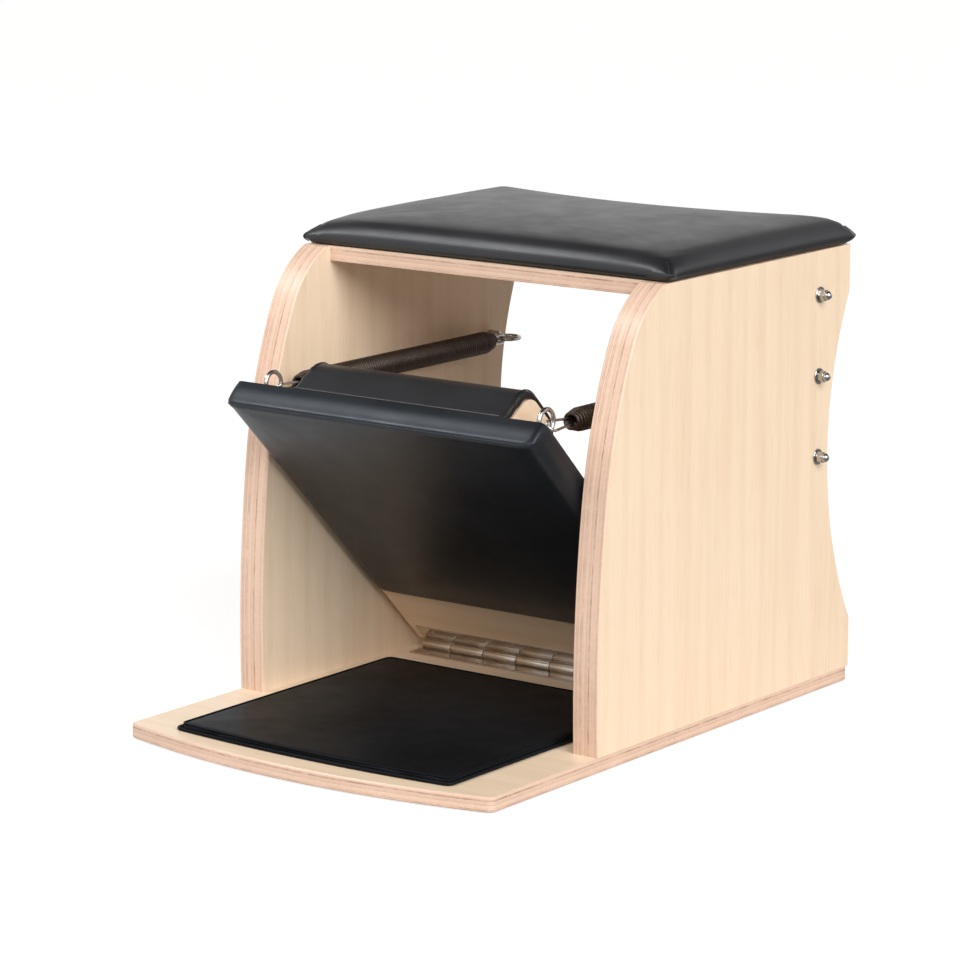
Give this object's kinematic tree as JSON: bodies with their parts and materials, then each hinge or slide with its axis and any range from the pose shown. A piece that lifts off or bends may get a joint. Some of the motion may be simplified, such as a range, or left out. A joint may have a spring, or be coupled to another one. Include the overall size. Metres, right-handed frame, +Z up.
{
  "type": "pilates chair",
  "caption": "Plywood pilates chair with a padded seat and a padded, hinged pedal that extension springs between eye bolts hold up and pull back when it is pressed",
  "frame": {"origin": "on the floor, at the middle of the part's box", "axes": "+X to the sitter's side on the viewer's right, +Y back from the pedal, +Z up"},
  "size_m": [0.574, 0.7879, 0.6005],
  "materials": {
    "plywood": "clear satin lacquer",
    "black_vinyl": "satin grain",
    "grip_rubber": "matt",
    "nickel_steel": "bright nickel",
    "hinge_steel": "satin",
    "spring_steel": "dark oiled"
  },
  "bodies": {
    "frame": {"base_board": "plywood", "base_mat": "black_vinyl", "grip_pads": "grip_rubber", "left_side_panel": "plywood", "right_side_panel": "plywood", "base_screws": "nickel_steel", "seat_board": "plywood", "seat_cushion_board": "plywood", "seat_cushion": "black_vinyl", "seat_cushion_screws": "nickel_steel", "hinge_base_leaf": "hinge_steel", "hinge_base_screws": "hinge_steel", "hinge_pin": "hinge_steel", "left_lower_eye_bolt": "nickel_steel", "left_middle_eye_bolt": "nickel_steel", "left_upper_eye_bolt": "nickel_steel", "left_outer_washers": "nickel_steel", "left_acorn_nuts": "nickel_steel", "left_inner_nuts": "nickel_steel", "right_lower_eye_bolt": "nickel_steel", "right_middle_eye_bolt": "nickel_steel", "right_upper_eye_bolt": "nickel_steel", "right_outer_washers": "nickel_steel", "right_acorn_nuts": "nickel_steel", "right_inner_nuts": "nickel_steel"},
    "pedal": {"hinge_pedal_leaf": "hinge_steel", "hinge_pedal_screws": "hinge_steel", "pedal_board": "plywood", "pedal_pad": "black_vinyl", "foot_bar_core": "plywood", "foot_bar_pad": "black_vinyl", "foot_bar_screws": "nickel_steel", "left_pedal_eye_bolt": "nickel_steel", "right_pedal_eye_bolt": "nickel_steel", "pedal_tee_nuts": "nickel_steel"},
    "left_spring": {"left_spring_coil": "spring_steel", "left_rear_hook": "spring_steel"},
    "left_spring_end": {"left_front_hook": "spring_steel"},
    "right_spring": {"right_spring_coil": "spring_steel", "right_rear_hook": "spring_steel"},
    "right_spring_end": {"right_front_hook": "spring_steel"}
  },
  "joints": [
    {"name": "pedal_press", "type": "hinge", "parent": "frame", "child": "pedal", "pos_m": [0, 0.143, 0.027], "axis": [1, 0, 0], "range_deg": [0, 40], "stiffness_Nm_per_rad": 270, "springref_deg": -8.59},
    {"name": "left_spring_swing", "type": "hinge", "parent": "frame", "child": "left_spring", "pos_m": [-0.203, 0.297, 0.403], "axis": [1, 0, 0], "range_deg": [0, 25.5]},
    {"name": "left_spring_stretch", "type": "slide", "parent": "left_spring", "child": "left_spring_end", "axis": [0, -0.9998, 0.0181], "range_m": [0, 0.244], "deforming": ["left_spring_coil"]},
    {"name": "right_spring_swing", "type": "hinge", "parent": "frame", "child": "right_spring", "pos_m": [0.203, 0.297, 0.403], "axis": [1, 0, 0], "range_deg": [0, 25.5]},
    {"name": "right_spring_stretch", "type": "slide", "parent": "right_spring", "child": "right_spring_end", "axis": [0, -0.9998, 0.0181], "range_m": [0, 0.244], "deforming": ["right_spring_coil"]}
  ],
  "couplings": [
    {"joint": "left_spring_swing", "follows": "pedal_press", "ratio": 0.63},
    {"joint": "left_spring_stretch", "follows": "pedal_press", "m_per_rad": 0.346},
    {"joint": "right_spring_swing", "follows": "pedal_press", "ratio": 0.63},
    {"joint": "right_spring_stretch", "follows": "pedal_press", "m_per_rad": 0.346}
  ]
}
